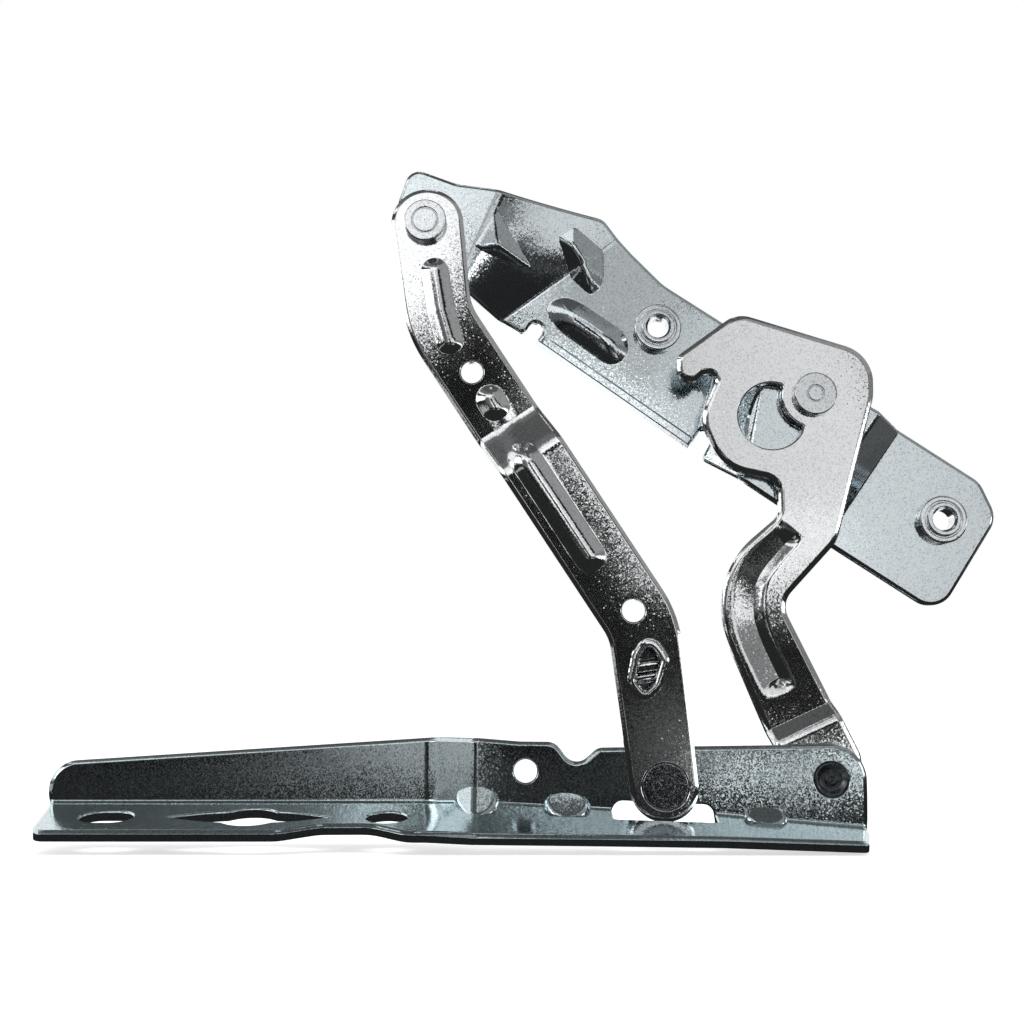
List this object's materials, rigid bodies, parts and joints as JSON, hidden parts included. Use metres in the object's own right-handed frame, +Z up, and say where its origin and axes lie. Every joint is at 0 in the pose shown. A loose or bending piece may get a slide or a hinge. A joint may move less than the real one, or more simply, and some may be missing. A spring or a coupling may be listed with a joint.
{
  "type": "hood hinge",
  "caption": "Folding hood hinge of pressed steel: angled base bracket, two riveted swing links and a folded hood bracket with threaded clinch nuts.",
  "frame": {"origin": "centre of the round bolt hole in the base flange, on the flange's top face", "axes": "+X along the base bracket towards its rivet end, +Y away from the side with the flange, +Z up"},
  "size_m": [0.2969, 0.0435, 0.2116],
  "materials": {
    "zinc_plated_base": "satin",
    "zinc_plated_link": "satin",
    "zinc_plated_bracket": "satin",
    "plated_rivet": "satin",
    "dark_rivet": "satin",
    "bush_lining": "satin",
    "plated_washer": "satin",
    "plated_nut": "satin"
  },
  "bodies": {
    "base": {"base_bracket": "zinc_plated_base", "rivet_front_base": "plated_rivet", "washer_front_base": "plated_washer", "spacer_front_base": "plated_washer", "rivet_rear_base": "dark_rivet", "spacer_rear_base": "plated_washer", "washer_rear_base": "plated_washer"},
    "front_link": {"front_link": "zinc_plated_link", "bush_front_base": "bush_lining", "bush_front_hood": "bush_lining"},
    "hood_bracket": {"hood_bracket": "zinc_plated_bracket", "rivet_front_hood": "plated_rivet", "spacer_front_hood": "plated_washer", "washer_front_hood": "plated_washer", "rivet_rear_hood": "plated_rivet", "spacer_rear_hood": "plated_washer", "washer_rear_hood": "plated_washer", "hood_nut_front": "plated_nut", "hood_nut_rear": "plated_nut"},
    "rear_link": {"rear_link": "zinc_plated_link", "bush_rear_hood": "bush_lining"}
  },
  "joints": [
    {"name": "front_fold", "type": "hinge", "parent": "base", "child": "front_link", "pos_m": [0.0821, 0, 0.0089], "axis": [0, -1, 0], "range_deg": [0, 58]},
    {"name": "hood_fold", "type": "hinge", "parent": "front_link", "child": "hood_bracket", "pos_m": [0.0096, 0, 0.1834], "axis": [0, -1, 0], "range_deg": [-24.2, 0]},
    {"name": "rear_fold", "type": "hinge", "parent": "hood_bracket", "child": "rear_link", "pos_m": [0.1318, 0, 0.1291], "axis": [0, -1, 0], "range_deg": [0, 30.4]}
  ],
  "couplings": [
    {"joint": "hood_fold", "follows": "front_fold", "ratio": -0.4134},
    {"joint": "rear_fold", "follows": "front_fold", "ratio": 0.519}
  ]
}
